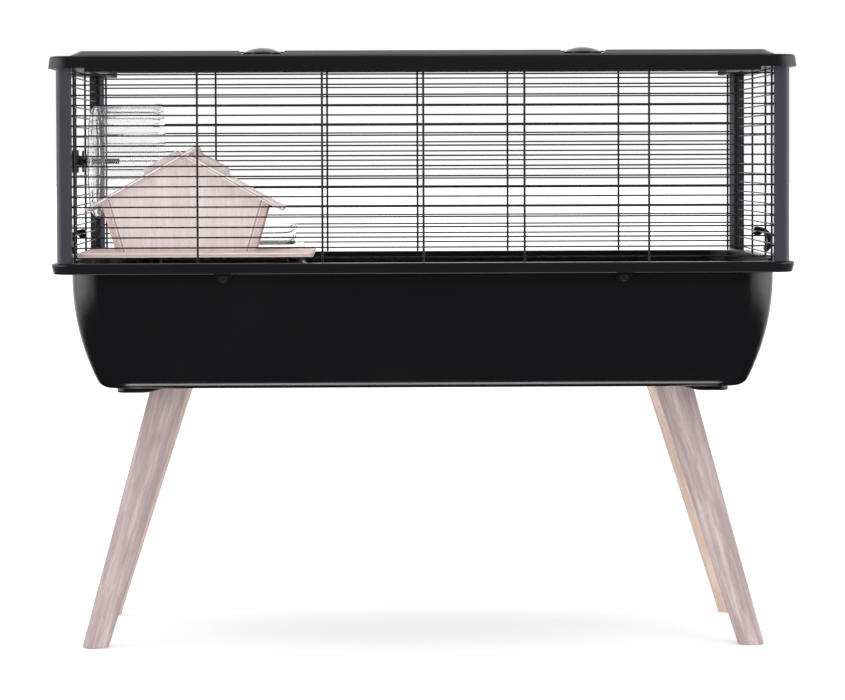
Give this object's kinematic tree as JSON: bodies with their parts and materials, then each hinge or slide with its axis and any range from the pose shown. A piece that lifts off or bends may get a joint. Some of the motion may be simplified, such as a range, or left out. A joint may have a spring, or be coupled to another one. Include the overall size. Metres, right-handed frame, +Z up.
{
  "type": "small rodent cage on stand",
  "caption": "Wire-topped cage for hamsters: deep plastic tub, hinged lid, wheel, wooden house and platform, on splayed round wooden legs.",
  "frame": {"origin": "on the floor, under the middle of the cage", "axes": "+X to the right along the long side, +Y to the back, +Z up"},
  "size_m": [0.788, 0.483, 0.6442],
  "materials": {
    "leg_wood": "satin",
    "mount_plastic": "matte",
    "frame_plastic": "semi-gloss",
    "post_plastic": "semi-gloss",
    "bolt_steel": "satin",
    "tub_plastic": "gloss",
    "black_screw": "semi-gloss",
    "wire_coat": "semi-gloss",
    "lid_plastic": "semi-gloss",
    "pin_steel": "satin",
    "latch_plastic": "gloss",
    "clip_plastic": "gloss",
    "wheel_clear": "clear gloss",
    "axle_plastic": "semi-gloss",
    "prop_plastic": "matte",
    "platform_wood": "matte",
    "ramp_wood": "matte",
    "house_ply": "matte",
    "house_batten": "matte",
    "roof_ply": "matte",
    "dish_clear": "clear gloss"
  },
  "bodies": {
    "base": {"leg_front_left": "leg_wood", "leg_plate_front_left": "mount_plastic", "leg_front_right": "leg_wood", "leg_plate_front_right": "mount_plastic", "leg_back_left": "leg_wood", "leg_plate_back_left": "mount_plastic", "leg_back_right": "leg_wood", "leg_plate_back_right": "mount_plastic", "leg_bolts": "bolt_steel", "leg_plate_screws": "bolt_steel", "tub": "tub_plastic", "bottom_frame": "frame_plastic", "tab_screws": "black_screw", "platform": "platform_wood", "platform_props": "prop_plastic", "ramp_board": "ramp_wood", "ramp_rungs": "ramp_wood", "house_front_wall": "house_ply", "house_back_wall": "house_ply", "house_left_wall": "house_ply", "house_right_wall": "house_ply", "house_battens": "house_batten", "house_roof_left": "roof_ply", "house_roof_right": "roof_ply", "food_dish": "dish_clear"},
    "cage_top": {"post_front_left": "post_plastic", "post_front_right": "post_plastic", "post_back_left": "post_plastic", "post_back_right": "post_plastic", "front_panel": "wire_coat", "back_panel": "wire_coat", "left_panel": "wire_coat", "right_panel": "wire_coat", "top_frame": "frame_plastic", "lid_hinge_pins": "pin_steel", "wheel_axle": "axle_plastic", "wheel_washer": "axle_plastic", "wheel_knob": "axle_plastic"},
    "lid": {"lid_frame": "lid_plastic", "lid_grille": "wire_coat"},
    "latch_left": {"latch_left": "latch_plastic"},
    "latch_right": {"latch_right": "latch_plastic"},
    "side_clip_left": {"side_clip_left": "clip_plastic"},
    "side_clip_right": {"side_clip_right": "clip_plastic"},
    "wheel": {"wheel_drum": "wheel_clear"}
  },
  "joints": [
    {"name": "cage_lift", "type": "slide", "parent": "base", "child": "cage_top", "axis": [0, 0, 1], "range_m": [0, 0.25]},
    {"name": "lid_hinge", "type": "hinge", "parent": "cage_top", "child": "lid", "pos_m": [0, 0.227, 0.6396], "axis": [-1, 0, 0], "range_deg": [0, 110]},
    {"name": "latch_left_slide", "type": "slide", "parent": "lid", "child": "latch_left", "axis": [0, -1, 0], "range_m": [0, 0.007]},
    {"name": "latch_right_slide", "type": "slide", "parent": "lid", "child": "latch_right", "axis": [0, -1, 0], "range_m": [0, 0.007]},
    {"name": "side_clip_left_turn", "type": "hinge", "parent": "cage_top", "child": "side_clip_left", "pos_m": [-0.3765, 0, 0.4444], "axis": [0, 1, 0], "range_deg": [0, 65]},
    {"name": "side_clip_right_turn", "type": "hinge", "parent": "cage_top", "child": "side_clip_right", "pos_m": [0.3765, 0, 0.4444], "axis": [0, -1, 0], "range_deg": [0, 65]},
    {"name": "wheel_spin", "type": "hinge", "parent": "cage_top", "child": "wheel", "pos_m": [-0.33, 0.042, 0.52465], "axis": [1, 0, 0], "continuous": true}
  ]
}
